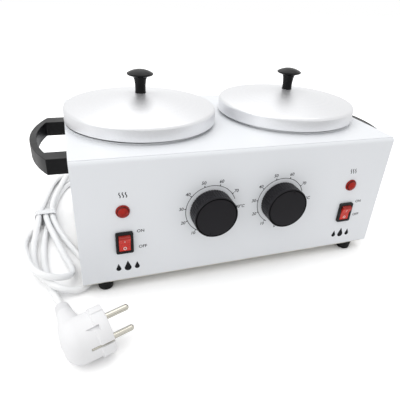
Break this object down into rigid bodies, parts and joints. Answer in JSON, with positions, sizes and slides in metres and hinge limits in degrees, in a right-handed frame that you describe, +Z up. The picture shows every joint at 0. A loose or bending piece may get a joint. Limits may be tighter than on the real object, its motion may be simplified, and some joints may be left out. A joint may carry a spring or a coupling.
{
  "type": "double wax warmer",
  "caption": "Countertop wax warmer: a steel case with heated wells, lift-out pots under domed lids, temperature dials, rocker switches, pilot lamps, side handles and a tied mains lead.",
  "frame": {"origin": "on the floor, at the middle of the object's bounding box without its lead, strain relief and plug", "axes": "+X to the right along the front, +Y from the front to the back, +Z up; the dials face -Y"},
  "size_m": [0.3879, 0.366, 0.1783],
  "materials": {
    "case_enamel": "satin powder coat",
    "base_steel": "galvanised sheet",
    "zinc_steel": "zinc plated",
    "foot_rubber": "matte",
    "handle_plastic": "fine moulded grain",
    "knob_plastic": "semi-gloss",
    "dial_plastic": "fine moulded grain",
    "switch_plastic": "semi-gloss",
    "well_aluminium": "matt",
    "pot_aluminium": "satin",
    "lid_aluminium": "satin, fine turned lines",
    "heater_case": "heat dulled",
    "bulb_copper": "dull",
    "thermostat_ceramic": "matt",
    "lamp_red": "clear red",
    "rocker_red": "clear red",
    "contact_brass": "plain",
    "block_plastic": "plain",
    "lead_sheath": "smooth soft sheath",
    "plug_plastic": "smooth",
    "tie_plastic": "milky",
    "pin_nickel": "nickel plated"
  },
  "bodies": {
    "case": {"case_wrap": "case_enamel", "end_panel_left": "case_enamel", "end_panel_right": "case_enamel", "base_plate": "base_steel", "base_screws": "zinc_steel", "rubber_feet": "foot_rubber", "foot_screws": "zinc_steel", "foot_nuts": "zinc_steel", "handle_left": "handle_plastic", "handle_right": "handle_plastic", "handle_screws": "zinc_steel", "heating_well_left": "well_aluminium", "heating_well_right": "well_aluminium", "heater_disc_left": "heater_case", "heater_disc_right": "heater_case", "press_plate_left": "zinc_steel", "press_plate_right": "zinc_steel", "well_bracket_left": "zinc_steel", "well_bracket_right": "zinc_steel", "well_nuts": "zinc_steel", "bracket_rivets": "zinc_steel", "thermostat_left": "thermostat_ceramic", "thermostat_right": "thermostat_ceramic", "sensor_bulb_left": "bulb_copper", "sensor_bulb_right": "bulb_copper", "thermostat_nuts": "zinc_steel", "switch_body_left": "switch_plastic", "switch_body_right": "switch_plastic", "switch_tabs": "contact_brass", "lamp_lens_left": "lamp_red", "lamp_lens_right": "lamp_red", "lamp_holders": "switch_plastic", "terminal_block": "block_plastic", "inner_lead": "lead_sheath", "cord_gland": "lead_sheath", "gland_nut": "lead_sheath", "power_cord": "lead_sheath", "cord_tie": "tie_plastic", "plug_body": "plug_plastic", "plug_pins": "pin_nickel", "plug_earth_clips": "pin_nickel"},
    "pot_left": {"wax_pot_left": "pot_aluminium"},
    "pot_right": {"wax_pot_right": "pot_aluminium"},
    "lid_left": {"lid_left": "lid_aluminium", "lid_knob_left": "knob_plastic", "lid_screw_left": "zinc_steel"},
    "lid_right": {"lid_right": "lid_aluminium", "lid_knob_right": "knob_plastic", "lid_screw_right": "zinc_steel"},
    "dial_left": {"dial_knob_left": "dial_plastic", "thermostat_shaft_left": "zinc_steel"},
    "dial_right": {"dial_knob_right": "dial_plastic", "thermostat_shaft_right": "zinc_steel"},
    "switch_left": {"rocker_left": "rocker_red"},
    "switch_right": {"rocker_right": "rocker_red"}
  },
  "joints": [
    {"name": "pot_lift_left", "type": "slide", "parent": "case", "child": "pot_left", "axis": [0, 0, 1], "range_m": [0, 0.1]},
    {"name": "pot_lift_right", "type": "slide", "parent": "case", "child": "pot_right", "axis": [0, 0, 1], "range_m": [0, 0.1]},
    {"name": "lid_lift_left", "type": "slide", "parent": "pot_left", "child": "lid_left", "axis": [0, 0, 1], "range_m": [0, 0.06]},
    {"name": "lid_lift_right", "type": "slide", "parent": "pot_right", "child": "lid_right", "axis": [0, 0, 1], "range_m": [0, 0.06]},
    {"name": "dial_turn_left", "type": "hinge", "parent": "case", "child": "dial_left", "pos_m": [-0.0345, -0.0885, 0.0738], "axis": [0, 1, 0], "range_deg": [-13, 254]},
    {"name": "dial_turn_right", "type": "hinge", "parent": "case", "child": "dial_right", "pos_m": [0.0345, -0.0885, 0.0738], "axis": [0, 1, 0], "range_deg": [-188, 79]},
    {"name": "rocker_left", "type": "hinge", "parent": "case", "child": "switch_left", "pos_m": [-0.112, -0.0802, 0.0515], "axis": [-1, 0, 0], "range_deg": [0, 24]},
    {"name": "rocker_right", "type": "hinge", "parent": "case", "child": "switch_right", "pos_m": [0.112, -0.0802, 0.0515], "axis": [-1, 0, 0], "range_deg": [0, 24]}
  ]
}
